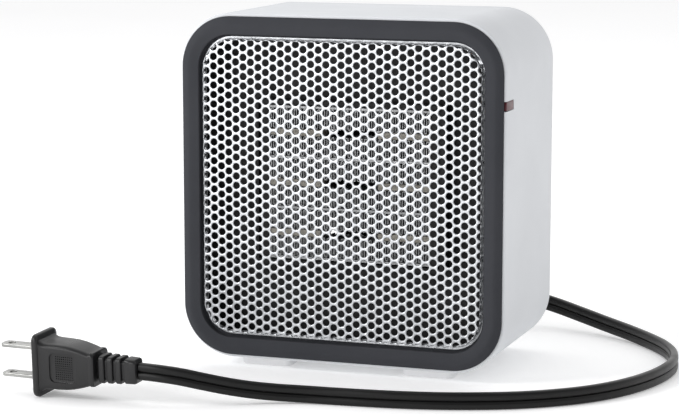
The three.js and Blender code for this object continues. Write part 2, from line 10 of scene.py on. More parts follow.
import bmesh
import bpy
from mathutils import Matrix, Vector


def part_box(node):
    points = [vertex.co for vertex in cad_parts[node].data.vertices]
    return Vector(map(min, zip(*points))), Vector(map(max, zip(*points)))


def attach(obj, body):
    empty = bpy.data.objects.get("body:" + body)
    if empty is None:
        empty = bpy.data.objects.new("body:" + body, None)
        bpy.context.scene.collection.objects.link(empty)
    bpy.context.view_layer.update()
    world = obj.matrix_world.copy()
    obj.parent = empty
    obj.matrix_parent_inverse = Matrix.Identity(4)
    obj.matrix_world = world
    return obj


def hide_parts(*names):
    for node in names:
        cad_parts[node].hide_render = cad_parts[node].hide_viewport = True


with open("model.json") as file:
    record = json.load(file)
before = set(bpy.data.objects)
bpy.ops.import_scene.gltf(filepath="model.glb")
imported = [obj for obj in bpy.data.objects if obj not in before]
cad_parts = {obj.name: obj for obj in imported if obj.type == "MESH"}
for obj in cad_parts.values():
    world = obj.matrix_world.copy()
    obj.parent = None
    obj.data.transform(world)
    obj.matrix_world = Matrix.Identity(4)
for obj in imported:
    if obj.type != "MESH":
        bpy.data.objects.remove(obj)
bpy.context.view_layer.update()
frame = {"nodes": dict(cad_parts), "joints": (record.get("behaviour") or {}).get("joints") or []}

MM = 0.001
UP = Vector((0, 0, 1))


# ---- camera ------------------------------------------------------------------------------

CAMERA_AZIMUTH = math.radians(19.366)
CAMERA_PITCH = math.radians(8.881)
CAMERA_DISTANCE = 1.0557
CAMERA_AIM = Vector((-0.0138, 0, 0.0668))
LENS_LENGTH_MM = 124.1


def add_camera():
    data = bpy.data.cameras.new("camera")
    data.lens = LENS_LENGTH_MM
    data.sensor_width = 36
    data.clip_start = 0.05
    data.clip_end = 50
    camera = bpy.data.objects.new("camera", data)
    back = Vector((
        math.sin(CAMERA_AZIMUTH) * math.cos(CAMERA_PITCH),
        -math.cos(CAMERA_AZIMUTH) * math.cos(CAMERA_PITCH),
        math.sin(CAMERA_PITCH),
    ))
    camera.location = CAMERA_AIM + back * CAMERA_DISTANCE
    camera.rotation_euler = (math.pi / 2 - CAMERA_PITCH, 0, CAMERA_AZIMUTH)
    bpy.context.scene.collection.objects.link(camera)
    bpy.context.scene.camera = camera


add_camera()


# ---- materials ---------------------------------------------------------------------------

def linear(level):
    """A screen grey or colour, 0 to 255, as the linear value that a shader takes."""
    share = level / 255
    return share / 12.92 if share <= 0.04045 else ((share + 0.055) / 1.055) ** 2.4


def rgba(color):
    return (*[linear(level) for level in color], 1)


class Paint:
    """A Principled material whose colour, roughness and relief vary with the place."""

    def __init__(self, name, roughness, metallic=0.0, specular=0.5):
        self.material = bpy.data.materials.new(name)
        self.material.use_nodes = True
        self.nodes = self.material.node_tree.nodes
        self.links = self.material.node_tree.links
        self.shader = self.nodes["Principled BSDF"]
        self.shader.inputs["Roughness"].default_value = roughness
        self.shader.inputs["Metallic"].default_value = metallic
        self.shader.inputs["Specular IOR Level"].default_value = specular
        self.place = self.nodes.new("ShaderNodeTexCoord").outputs["Object"]

    def node(self, kind, **values):
        made = self.nodes.new(kind)
        for name, value in values.items():
            setattr(made, name, value)
        return made

    def stretched(self, scale):
        mapping = self.node("ShaderNodeMapping")
        mapping.inputs["Scale"].default_value = scale
        self.links.new(self.place, mapping.inputs["Vector"])
        return mapping.outputs["Vector"]

    def noise(self, scale, detail=2.0, stretch=None):
        made = self.node("ShaderNodeTexNoise")
        made.inputs["Scale"].default_value = scale
        made.inputs["Detail"].default_value = detail
        place = self.place if stretch is None else self.stretched(stretch)
        self.links.new(place, made.inputs["Vector"])
        return made.outputs["Fac"]

    def ramp(self, factor, low, high, start=0.35, end=0.65):
        made = self.node("ShaderNodeValToRGB")
        made.color_ramp.elements[0].position = start
        made.color_ramp.elements[0].color = low
        made.color_ramp.elements[1].position = end
        made.color_ramp.elements[1].color = high
        self.links.new(factor, made.inputs["Fac"])
        return made.outputs["Color"]

    def color(self, low, high, scale, detail=3.0, stretch=None):
        shades = self.ramp(self.noise(scale, detail, stretch), rgba(low), rgba(high))
        self.links.new(shades, self.shader.inputs["Base Color"])
        return self

    def gloss(self, low, high, scale, stretch=None):
        grey = self.ramp(self.noise(scale, 2.0, stretch), (low,) * 3 + (1,), (high,) * 3 + (1,))
        self.links.new(grey, self.shader.inputs["Roughness"])
        return self

    def relief(self, height, scale, detail=1.0, stretch=None):
        bump = self.node("ShaderNodeBump")
        bump.inputs["Distance"].default_value = height
        bump.inputs["Strength"].default_value = 1.0
        self.links.new(self.noise(scale, detail, stretch), bump.inputs["Height"])
        self.links.new(bump.outputs["Normal"], self.shader.inputs["Normal"])
        return self


def moulded(name, low, high, roughness, height=0.012, scale=2600, **options):
    """Injection-moulded plastic: faint flow marks in the colour and a fine spark texture."""
    paint = Paint(name, roughness, **options)
    paint.color(low, high, 24)
    paint.gloss(roughness - 0.05, roughness + 0.06, 90)
    return paint.relief(height * MM, scale).material


def metal(name, low, high, roughness, stretch=(1, 1, 1), scale=900, height=0.004, metallic=1.0):
    """Bare or plated metal with drawn or rolled streaks along the short axis of stretch."""
    paint = Paint(name, roughness, metallic=metallic)
    paint.color(low, high, scale * 0.2, stretch=stretch)
    paint.gloss(roughness - 0.08, roughness + 0.1, scale * 0.5, stretch=stretch)
    return paint.relief(height * MM, scale, stretch=stretch).material


def lens_material():
    paint = Paint("lens_red", 0.3, specular=0.3)
    paint.color((74, 20, 30), (86, 25, 35), 120)
    return paint.relief(0.02 * MM, 500).material


def lamp_material():
    paint = Paint("lamp_glass", 0.08)
    paint.color((214, 150, 110), (232, 176, 140), 300)
    paint.shader.inputs["Transmission Weight"].default_value = 0.5
    return paint.relief(0.01 * MM, 900).material


def ceramic_material():
    """Grey-brown PTC ceramic with a speckled, slightly chalky face."""
    paint = Paint("ptc_ceramic", 0.75)
    paint.color((150, 146, 138), (186, 181, 170), 1400, detail=5)
    return paint.relief(0.03 * MM, 3000, detail=4).material


HOUSING_WHITE = moulded(
    "housing_white", (219, 221, 224), (223, 225, 228), 0.6, specular=0.1)
# The feet are white, but this white is set lighter than the sleeve's. The extra lightness is
# painted light that brightens the feet in the shade under the body.
FOOT_WHITE_WITH_PAINTED_LIGHT = moulded("foot_white", (242, 242, 243), (246, 246, 247), 0.5)
BEZEL_CHARCOAL = moulded(
    "bezel_charcoal", (59, 60, 64), (63, 64, 68), 0.75, height=0.02, specular=0.08)
DUCT_BLACK = moulded("duct_black", (20, 20, 21), (26, 26, 27), 0.6)
CAP_BLACK = moulded("cap_black", (22, 22, 22), (30, 29, 28), 0.62)
FAN_BLACK = moulded("fan_black", (24, 25, 27), (30, 31, 33), 0.45)
SWITCH_BLACK = moulded("switch_black", (26, 26, 28), (32, 32, 34), 0.35)
NYLON_CREAM = moulded("nylon_cream", (214, 208, 192), (222, 217, 203), 0.5)
LEAD_BLACK = moulded("lead_black", (24, 24, 24), (32, 32, 32), 0.5)
LEAD_RED = moulded("lead_red", (128, 34, 28), (146, 44, 36), 0.5)
CORD_BLACK = moulded(
    "cord_black", (13, 13, 13), (17, 17, 17), 0.34, height=0.008, scale=1500, specular=0.28)
PLUG_BLACK = moulded(
    "plug_black", (22, 22, 23), (28, 28, 29), 0.32, height=0.014, scale=1800, specular=0.4)
MARK_WHITE = moulded("mark_white", (214, 214, 212), (224, 224, 222), 0.5)
GRILLE_SILVER = metal(
    "grille_silver", (190, 192, 195), (200, 202, 205), 0.34, scale=700, height=0.006, metallic=0.94)
ALUMINIUM = metal(
    "element_aluminium", (160, 161, 162), (186, 187, 188), 0.34, (1, 0.2, 1), metallic=0.92)
PLATED_STEEL = metal("plated_steel", (176, 178, 182), (196, 198, 202), 0.32)
MOTOR_STEEL = metal("motor_steel", (150, 152, 156), (170, 172, 176), 0.4, (1, 0.15, 1), 500)
SCREW_STEEL = metal("screw_steel", (168, 170, 174), (190, 192, 196), 0.28)
BLADE_NICKEL = metal(
    "blade_nickel", (150, 150, 148), (186, 186, 183), 0.3, (0.15, 1, 1), 1100, metallic=0.9)
LENS_RED = lens_material()
LAMP_GLASS = lamp_material()
PTC_CERAMIC = ceramic_material()


# ---- shapes ------------------------------------------------------------------------------

def scaled(*pairs):
    """Pairs written in millimetres, as metres."""
    return [tuple(value * MM for value in pair) for pair in pairs]


def rounded_rect(width, height, corner, centre=(0, 0), steps=20):
    """Points anticlockwise round a rectangle with round corners."""
    points = []
    for quarter, (sx, sz) in enumerate([(1, 1), (-1, 1), (-1, -1), (1, -1)]):
        middle_x = centre[0] + sx * (width / 2 - corner)
        middle_z = centre[1] + sz * (height / 2 - corner)
        for step in range(steps + 1):
            angle = (quarter + step / steps) * math.pi / 2
            points.append((
                middle_x + corner * math.cos(angle), middle_z + corner * math.sin(angle)))
    return points


def circle(radius, centre=(0, 0), count=32):
    return [
        (centre[0] + radius * math.cos(i * math.tau / count),
         centre[1] + radius * math.sin(i * math.tau / count))
        for i in range(count)]


def stadium(length, height, centre, steps=8):
    return rounded_rect(length, height, height / 2 - 0.01 * MM, centre, steps)


def softened(points, radii, steps=5):
    """A closed profile with each corner turned into a curve that starts radius before it."""
    soft = []
    count = len(points)
    for i, (point, radius) in enumerate(zip(points, radii)):
        corner = Vector(point)
        if radius == 0:
            soft.append(tuple(corner))
            continue
        before = Vector(points[i - 1]) - corner
        after = Vector(points[(i + 1) % count]) - corner
        start = corner + before.normalized() * min(radius, 0.49 * before.length)
        end = corner + after.normalized() * min(radius, 0.49 * after.length)
        for step in range(steps + 1):
            t = step / steps
            soft.append(tuple(start * (1 - t) ** 2 + corner * 2 * t * (1 - t) + end * t ** 2))
    return soft


def mesh_from(points, faces):
    mesh = bpy.data.meshes.new("mesh")
    mesh.from_pydata([tuple(point) for point in points], [], faces)
    shape = bmesh.new()
    shape.from_mesh(mesh)
    bmesh.ops.remove_doubles(shape, verts=shape.verts, dist=0.002 * MM)
    bmesh.ops.dissolve_degenerate(shape, edges=shape.edges, dist=0.001 * MM)
    bmesh.ops.recalc_face_normals(shape, faces=shape.faces)
    shape.to_mesh(mesh)
    shape.free()
    return mesh


def lofted(rings, loop=False):
    """A skin over rings of equal length. It closes on itself, or has a flat cap at each end."""
    count = len(rings[0])
    points = [point for ring in rings for point in ring]
    faces = []
    for i in range(len(rings) if loop else len(rings) - 1):
        first = i * count
        second = (i + 1) % len(rings) * count
        for j in range(count):
            k = (j + 1) % count
            faces.append((first + j, first + k, second + k, second + j))
    if not loop:
        faces.append(tuple(range(count)))
        faces.append(tuple(range(len(points) - count, len(points))))
    return mesh_from(points, faces)


def framed(width, height, corner, centre, profile):
    """A closed profile of (inset, y) swept round a rounded rectangle."""
    rings = []
    for inset, y in profile:
        outline = rounded_rect(width - 2 * inset, height - 2 * inset, corner - inset, centre, 24)
        rings.append([(x, y, z) for x, z in outline])
    return lofted(rings, loop=True)


def turned(profile, centre, loop=False, count=48):
    """A profile of (radius, y) turned about the Y line through centre = (x, z)."""
    rings = [
        [(x, y, z) for x, z in circle(radius, centre, count)] for radius, y in profile]
    return lofted(rings, loop)


def panel(outlines, y_front, y_back, edge):
    """A flat panel in the X-Z plane with holes, all its edges rounded."""
    curve = bpy.data.curves.new("panel", "CURVE")
    curve.dimensions = "2D"
    curve.fill_mode = "BOTH"
    curve.extrude = (y_back - y_front) / 2 - edge
    curve.bevel_depth = edge
    curve.bevel_resolution = 3
    curve.offset = -edge
    for outline in outlines:
        spline = curve.splines.new("POLY")
        spline.points.add(len(outline) - 1)
        for point, (x, z) in zip(spline.points, outline):
            point.co = (x, z, 0, 1)
        spline.use_cyclic_u = True
    holder = bpy.data.objects.new("panel", curve)
    bpy.context.scene.collection.objects.link(holder)
    graph = bpy.context.evaluated_depsgraph_get()
    mesh = bpy.data.meshes.new_from_object(holder.evaluated_get(graph))
    bpy.data.objects.remove(holder)
    mesh.transform(Matrix.Rotation(math.pi / 2, 4, "X"))
    mesh.transform(Matrix.Translation((0, (y_front + y_back) / 2, 0)))
    return mesh_from([v.co for v in mesh.vertices], [tuple(p.vertices) for p in mesh.polygons])


def block(low, high, corner, edge, axis="Z"):
    """A box between two corners with rounded corners seen along axis, and rounded rims."""
    turn = {
        "X": Matrix(((0, 0, 1), (1, 0, 0), (0, 1, 0))),
        "Y": Matrix(((1, 0, 0), (0, 0, 1), (0, 1, 0))),
        "Z": Matrix(((1, 0, 0), (0, 1, 0), (0, 0, 1))),
    }[axis]
    near = turn.inverted() @ Vector(low)
    far = turn.inverted() @ Vector(high)
    size = far - near
    middle = (near + far) / 2
    rings = []
    for step in range(5):
        angle = step / 4 * math.pi / 2
        rings.append((edge * (1 - math.sin(angle)), near.z + edge * (1 - math.cos(angle))))
    rings += [(inset, near.z + far.z - level) for inset, level in reversed(rings)]
    placed = []
    for inset, level in rings:
        outline = rounded_rect(
            size.x - 2 * inset, size.y - 2 * inset, max(corner - inset, 0.05 * MM), middle.xy, 6)
        placed.append([turn @ Vector((x, y, level)) for x, y in outline])
    return lofted(placed)


def joined(*meshes):
    """Several meshes as one, each face keeping its material index."""
    shape = bmesh.new()
    for mesh in meshes:
        shape.from_mesh(mesh)
    whole = bpy.data.meshes.new("mesh")
    shape.to_mesh(whole)
    shape.free()
    return whole


def cut(mesh, cutter):
    """mesh with the cutter's volume taken away."""
    holders = [bpy.data.objects.new("cut", data) for data in (mesh, cutter)]
    for holder in holders:
        bpy.context.scene.collection.objects.link(holder)
    modifier = holders[0].modifiers.new("cut", "BOOLEAN")
    modifier.operation = "DIFFERENCE"
    modifier.solver = "EXACT"
    modifier.object = holders[1]
    graph = bpy.context.evaluated_depsgraph_get()
    result = bpy.data.meshes.new_from_object(holders[0].evaluated_get(graph))
    for holder in holders:
        bpy.data.objects.remove(holder)
    return result


def add_piece(name, mesh, material, nodes=(), body="housing", sharp=35):
    """Puts a mesh into the scene as a named piece on a body, in place of its CAD nodes."""
    mesh.name = name
    piece = bpy.data.objects.new(name, mesh)
    bpy.context.scene.collection.objects.link(piece)
    mesh.materials.clear()
    mesh.materials.append(material)
    mesh.polygons.foreach_set("use_smooth", [True] * len(mesh.polygons))
    mesh.set_sharp_from_angle(angle=math.radians(sharp))
    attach(piece, body)
    if nodes:
        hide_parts(*nodes)
    return piece


def centre_of(node):
    low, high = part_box(node)
    return (low + high) / 2


# ---- cord --------------------------------------------------------------------------------

CORD_WIDTH = 7.2 * MM  # a flat twin flex that stands on its edge
LIE = 3.7  # height of the centre line, in millimetres, where the cord lies on the ground

# The centre line in millimetres, from the boot on the rear cover round to the plug.
CORD_ROUTE = [
    (22, 62.4, 19), (22.6, 68.3, 18.9), (24.6, 74.5, 18.5), (30.8, 83.5, 17.4),
    (40.5, 90, 15.9), (52, 92.3, 13.6), (64, 91.4, 11), (76.8, 87, 8.4), (91.5, 79.6, 5.9),
    (105.5, 69.8, 4.4), (117.4, 58, LIE), (127, 44.2, LIE), (133.8, 29, LIE),
    (136.9, 13.4, LIE), (136.2, -4, LIE), (132, -22, LIE), (124.5, -39.4, LIE),
    (114.6, -53.6, LIE), (102.3, -65.2, LIE), (88.4, -74.5, LIE), (73.6, -81.2, LIE),
    (58.9, -86, LIE), (44, -89.2, LIE), (30, -91, LIE), (16, -92.2, LIE), (3.1, -94.1, 4),
    (-7.4, -98, 4.8), (-16.9, -102.8, 6.2), (-25.9, -107.8, 8.2), (-34.3, -112.5, 10.5),
    (-42.7, -116.1, 12.6), (-51.5, -117.8, 13.7), (-60, -117.75, 14),
]
ROUTE_STEPS = 9  # points of the path from one point of the route to the next
GROOVE_ANGLE = math.radians(80)  # how far round each lobe reaches towards the other
LOBE_POINTS = 15

LEANING_LENGTH = 60 * MM  # stretch in which the flat cord turns to lie as the plug does
PLUG_END = Vector((-60.3, -117.7, 14)) * MM  # face that the cord enters
PLUG_TURN = math.radians(-4)
PLUG_ROLL = math.radians(3)  # the plug lies on one corner of its flange
PLUG_PLACE = (
    Matrix.Translation(PLUG_END) @ Matrix.Rotation(PLUG_TURN, 4, "Z")
    @ Matrix.Rotation(PLUG_ROLL, 4, "X"))


def smooth_route(points):
    """A centripetal Catmull-Rom curve through the points."""
    knots = [Vector(point) * MM for point in points]
    knots = [2 * knots[0] - knots[1], *knots, 2 * knots[-1] - knots[-2]]
    path = []
    for a, b, c, d in zip(knots, knots[1:], knots[2:], knots[3:]):
        ta = (b - a).length ** 0.5
        tb = (c - b).length ** 0.5
        tc = (d - c).length ** 0.5
        leave = (b - a) / ta - (c - a) / (ta + tb) + (c - b) / tb
        arrive = (c - b) / tb - (d - b) / (tb + tc) + (d - c) / tc
        for step in range(ROUTE_STEPS):
            t = step / ROUTE_STEPS
            path.append(
                b * (2 * t ** 3 - 3 * t ** 2 + 1) + c * (3 * t ** 2 - 2 * t ** 3)
                + leave * tb * (t ** 3 - 2 * t ** 2 + t) + arrive * tb * (t ** 3 - t ** 2))
    path.append(knots[-2])
    return path


def twin_section(width):
    """Two squarish lobes above each other, with a groove between them on both sides."""
    radius = width / 4
    start = -GROOVE_ANGLE
    section = []
    for lobe in (1, -1):
        for i in range(LOBE_POINTS):
            angle = start + (math.pi - 2 * start) * i / (LOBE_POINTS - 1)
            across = radius * math.copysign(abs(math.cos(angle)) ** 0.5, math.cos(angle))
            upward = radius * (1 + math.copysign(abs(math.sin(angle)) ** 0.8, math.sin(angle)))
            section.append((across * lobe, upward * lobe))
    return section


def add_cord():
    path = smooth_route(CORD_ROUTE)
    rings = []
    for i, point in enumerate(path):
        along = (path[min(i + 1, len(path) - 1)] - path[max(i - 1, 0)]).normalized()
        lean = PLUG_ROLL * max(0, 1 - (path[-1] - point).length / LEANING_LENGTH)
        upright = Matrix.Rotation(-lean, 3, along) @ UP
        side = along.cross(upright).normalized()
        above = side.cross(along)
        rings.append([point + side * a + above * b for a, b in twin_section(CORD_WIDTH)])
    piece = add_piece(
        "flat_cord", lofted(rings), CORD_BLACK, ["power_cord"], sharp=60)
    return piece, path


cord_piece, cord_path = add_cord()


# ---- plug --------------------------------------------------------------------------------

PLUG_LENGTH = 46.5 * MM
BLADE_OUT = 18.3 * MM
BLADE_SPACING = 12.7 * MM
DOT_COLUMNS = 9
DOT_ROWS = 11
DOT_PITCH = 0.95  # in millimetres, as are the two below
DOT_FIRST_X = -35.7
DOT_FIRST_Y = -7.2


def along_plug(sections):
    """Rounded-rectangle sections (x, half height, half depth, corner) in millimetres."""
    rings = []
    for x, half_height, half_depth, corner in sections:
        outline = rounded_rect(
            2 * half_depth * MM, 2 * half_height * MM, corner * MM, steps=7)
        rings.append([(x * MM, y, z) for y, z in outline])
    return lofted(rings)


def grip_dots():
    """A grid of small raised points for the fingers, in the panel of the plug's near side."""
    points = []
    faces = []
    base = 0.28 * MM
    for column in range(DOT_COLUMNS):
        for row in range(DOT_ROWS):
            x = (DOT_FIRST_X + column * DOT_PITCH) * MM
            z = (row - 5) * DOT_PITCH * MM
            y = (DOT_FIRST_Y + column * 0.015) * MM
            first = len(points)
            points += [
                (x - base, y + 0.6 * MM, z - base), (x + base, y + 0.6 * MM, z - base),
                (x + base, y + 0.6 * MM, z + base), (x - base, y + 0.6 * MM, z + base),
                (x, y - 0.25 * MM, z)]
            faces += [(first + i, first + (i + 1) % 4, first + 4) for i in range(4)]
            faces.append((first + 3, first + 2, first + 1, first))
    return mesh_from(points, faces)


def plug_mesh():
    """A rounded flange, a body that narrows behind it, and ribs and a collar on a neck."""
    flange = along_plug([
        (-46.5, 12.7, 8.1, 2.4), (-46.1, 13.25, 8.65, 2.7), (-45.5, 13.5, 8.9, 2.9),
        (-44.3, 13.5, 8.9, 2.9), (-43.8, 13.25, 8.65, 2.7), (-43.5, 12.7, 8.1, 2.4)])
    body = along_plug([
        (-44.6, 11.6, 8.2, 2.2), (-43.4, 11.1, 8.0, 2.1), (-42.6, 10.5, 7.8, 2.0),
        (-41.4, 10.0, 7.65, 1.9), (-39.5, 9.8, 7.55, 1.8), (-35.0, 9.75, 7.45, 1.8),
        (-31.0, 9.55, 7.3, 1.8), (-28.0, 9.1, 7.15, 1.8), (-25.0, 8.4, 7.0, 1.8),
        (-22.5, 7.7, 6.85, 1.8), (-20.8, 7.15, 6.7, 1.8), (-20.2, 7.1, 6.65, 1.8),
        (-19.9, 7.4, 6.8, 2.0), (-18.6, 7.3, 6.7, 2.0), (-18.2, 6.9, 6.4, 1.8)])
    ribs = [(-19.5, 4.4, 3.2, 1.2), (-17.4, 4.4, 3.2, 1.2)]
    for rib in range(3):
        x = -17.0 + 3.9 * rib
        height = 5.85 - 0.16 * rib
        depth = 4.5 - 0.14 * rib
        ribs += [
            (x, height - 0.3, depth - 0.3, 1.3), (x + 0.35, height, depth, 1.5),
            (x + 2.1, height, depth, 1.5), (x + 2.45, height - 0.3, depth - 0.3, 1.3),
            (x + 2.55, height - 1.3, depth - 1.1, 1.0), (x + 3.8, height - 1.4, depth - 1.1, 1.0)]
    ribs += [
        (-5.3, 5.0, 3.5, 1.3), (-4.9, 5.35, 3.75, 1.5), (-0.9, 5.2, 3.65, 1.5),
        (-0.25, 4.9, 3.4, 1.4), (0.0, 4.5, 2.9, 1.2)]
    recess = block(
        (-38.6 * MM, -9 * MM, -6.3 * MM), (-26.2 * MM, -6.75 * MM, 6.3 * MM),
        2.4 * MM, 0.3 * MM, "Y")
    return joined(flange, cut(body, recess), along_plug(ribs), grip_dots())


def blade_mesh(sign):
    """A flat blade with a hole near its rounded tip."""
    front = -PLUG_LENGTH - BLADE_OUT
    back = -PLUG_LENGTH + 6 * MM
    outline = rounded_rect(back - front, 6.3 * MM, 1.9 * MM, ((front + back) / 2, 0), 6)
    hole = circle(1.6 * MM, (front + 4.2 * MM, 0), 24)
    mesh = panel([outline, hole], -0.75 * MM, 0.75 * MM, 0.3 * MM)
    mesh.transform(Matrix.Rotation(-math.pi / 2, 4, "X"))
    mesh.transform(Matrix.Translation((0, 0, sign * BLADE_SPACING / 2)))
    return mesh


def add_plug():
    mesh = plug_mesh()
    mesh.transform(PLUG_PLACE)
    pieces = [add_piece("plug", mesh, PLUG_BLACK, ["plug_body"], sharp=40)]
    for name, sign in (("upper", 1), ("lower", -1)):
        blade = blade_mesh(sign)
        blade.transform(PLUG_PLACE)
        pieces.append(add_piece(
            f"blade_{name}", blade, BLADE_NICKEL, [f"plug_blade_{name}"]))
    return pieces


def add_boot():
    """The tapered strain relief on the rear cover, with ribs round it."""
    low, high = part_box("cord_boot")
    centre = centre_of("cord_boot")
    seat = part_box("rear_cover")[1].y
    tail = high.y - seat
    profile = [(0.1 * MM, low.y), (6.0 * MM, low.y), (6.0 * MM, seat), (7.4 * MM, seat + 0.1 * MM)]
    profile += [(7.6 * MM, seat + 0.4 * MM), (7.6 * MM, seat + 1.9 * MM)]
    profile += [(7.2 * MM, seat + 2.4 * MM), (6.2 * MM, seat + 3.2 * MM)]
    ribs = 6
    for rib in range(ribs):
        start = seat + (0.2 + 0.75 * rib / ribs) * tail
        radius = (6.0 - 1.5 * rib / ribs) * MM
        profile += [
            (radius, start), (radius, start + 1.9 * MM),
            (radius - 0.9 * MM, start + 2.1 * MM), (radius - 0.9 * MM, start + 2.9 * MM)]
    profile += [(4.5 * MM, high.y - 0.9 * MM), (4.4 * MM, high.y - 0.2 * MM), (4.1 * MM, high.y)]
    mesh = turned(profile, (centre.x, centre.z))
    return add_piece("strain_relief", mesh, CORD_BLACK, ["cord_boot"])


plug_pieces = add_plug()
boot_piece = add_boot()


# ---- housing and bezel -------------------------------------------------------------------

BODY_LOW, BODY_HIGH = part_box("housing_shell")
BODY_SIZE = BODY_HIGH - BODY_LOW
BODY_CENTRE = (0, (BODY_LOW.z + BODY_HIGH.z) / 2)
BODY_CORNER = 23.4 * MM
BODY_WALL = 2.6 * MM
RIM_Y = BODY_LOW.y  # front rim of the sleeve
REAR_Y = BODY_HIGH.y
BOSS_CENTRES = [
    (centre_of(f"rear_screw_{number}").x, centre_of(f"rear_screw_{number}").z)
    for number in (1, 2, 3, 4)]


def add_housing():
    """A sleeve with a rounded white lip in front, and four bosses for the cover's screws."""
    profile = softened(
        [(0, REAR_Y), (0, RIM_Y), (BODY_WALL, RIM_Y), (BODY_WALL, REAR_Y)],
        [1.2 * MM, 1.5 * MM, 0.3 * MM, 0.5 * MM])
    sleeve = framed(BODY_SIZE.x, BODY_SIZE.z, BODY_CORNER, BODY_CENTRE, profile)
    low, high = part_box("indicator_lens")
    play = 0.15 * MM
    notch = block(
        (low.x - 3 * MM, low.y - 5 * MM, low.z - play),
        (high.x + 3 * MM, high.y + play, high.z + play), 0.4 * MM, 0.02 * MM, "X")
    sleeve = cut(sleeve, notch)
    bosses = []
    boss_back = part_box("rear_cover")[0].y - 0.1 * MM
    boss = softened(
        [(1.8 * MM, boss_back), (5.8 * MM, boss_back), (5.8 * MM, boss_back - 14 * MM),
         (1.8 * MM, boss_back - 14 * MM)],
        [0.2 * MM, 0.4 * MM, 0.4 * MM, 0.2 * MM], steps=2)
    for centre in BOSS_CENTRES:
        bosses.append(turned(boss, centre, loop=True, count=32))
    add_piece(
        "sleeve", joined(sleeve, *bosses), HOUSING_WHITE, ["housing_shell"])


def add_bezel():
    """A crowned frame: rounded outside, sloping inwards to a small lip round the grille."""
    low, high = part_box("front_bezel")
    front = low.y
    skirt_end = high.y
    size = high - low
    back = front + 2.4 * MM
    lip = 7.9 * MM
    corners = [
        (0, back, 0.1), (0, front + 1.7 * MM, 0.6), (2.9 * MM, front, 1.5),
        (4.4 * MM, front + 0.05 * MM, 0.9), (lip, front + 0.9 * MM, 0.35),
        (lip, back + 1.6 * MM, 0.1), (lip + 1.0 * MM, back + 1.6 * MM, 0.1),
        (lip + 1.0 * MM, back + 2.0 * MM, 0.05), (4.4 * MM, back + 2.0 * MM, 0.3),
        (4.4 * MM, skirt_end, 0.3),
        (2.0 * MM, skirt_end, 0.3), (2.0 * MM, back, 0.1)]
    profile = softened([(a, b) for a, b, _ in corners], [radius * MM for _, _, radius in corners])
    mesh = framed(size.x, size.z, 22.5 * MM, BODY_CENTRE, profile)
    add_piece("bezel", mesh, BEZEL_CHARCOAL, ["front_bezel"], sharp=50)


add_housing()
add_bezel()


# ---- grille ------------------------------------------------------------------------------

COLUMN_PITCH = 3.48 * MM
ROW_PITCH = 4.18 * MM
LATTICE_X = 0.85 * MM  # centre of the middle column
LATTICE_Z = 81.55 * MM
HOLE_RADIUS = 1.52 * MM
SHEET = 0.55 * MM
ROLL = 0.6 * MM  # radius of the rolled edge
RETURN_DEPTH = 3.2 * MM
HOLE_STEPS = 3  # steps on each side of the hexagonal cell
GRILLE_FLANGE = 2.6 * MM  # width of the flange behind the bezel
EDGE_GAP = 0.8 * MM  # between the bezel's opening and the rolled edge


def grille_bend(x, z, depth, half_x, half_z, corner, front):
    """Puts a point of the flat sheet in place: flat inside, rolled back round the edge."""
    dx = max(abs(x) - (half_x - corner), 0)
    dz = max(abs(z) - (half_z - corner), 0)
    reach = math.hypot(dx, dz)
    over = reach - corner
    if over <= 0:
        return (x, front + depth, z)
    length = ROLL * math.pi / 2 + RETURN_DEPTH - ROLL
    over = min(over, length)
    normal_x = math.copysign(dx / reach, x)
    normal_z = math.copysign(dz / reach, z)
    angle = min(over / ROLL, math.pi / 2)
    out = (ROLL - depth) * math.sin(angle)
    base_x = math.copysign(min(abs(x), half_x - corner), x) + normal_x * corner
    base_z = math.copysign(min(abs(z), half_z - corner), z) + normal_z * corner
    down = ROLL - (ROLL - depth) * math.cos(angle) + max(over - ROLL * math.pi / 2, 0)
    return (base_x + normal_x * out, front + down, base_z + normal_z * out)


def hexagon_ring():
    """The outline of one cell of the staggered lattice, from its right corner."""
    flat = (COLUMN_PITCH ** 2 - (ROW_PITCH / 2) ** 2) / (2 * COLUMN_PITCH)
    tip = (COLUMN_PITCH ** 2 + (ROW_PITCH / 2) ** 2) / (2 * COLUMN_PITCH)
    half = ROW_PITCH / 2
    corners = [(tip, 0), (flat, half), (-flat, half), (-tip, 0), (-flat, -half), (flat, -half)]
    ring = []
    for (ax, az), (bx, bz) in zip(corners, corners[1:] + corners[:1]):
        for step in range(HOLE_STEPS):
            t = step / HOLE_STEPS
            ring.append((ax + (bx - ax) * t, az + (bz - az) * t))
    return ring


def cell_rings():
    """Rings of one perforation: flat land, raised rim, wall, and the back of the sheet."""
    hexagon = hexagon_ring()
    angles = [math.atan2(z, x) for x, z in hexagon]
    rings = [[(x, z, 0) for x, z in hexagon]]
    steps = [
        (1.17, 0.0), (1.13, 0.02), (1.07, 0.1), (1.02, 0.23), (1.0, 0.34), (1.0, 0.45),
        (1.04, 0.55)]
    for share, depth in steps:
        radius = HOLE_RADIUS * share
        rings.append([
            (radius * math.cos(a), radius * math.sin(a), depth * MM) for a in angles])
    rings.append([(x, z, SHEET) for x, z in hexagon])
    return rings


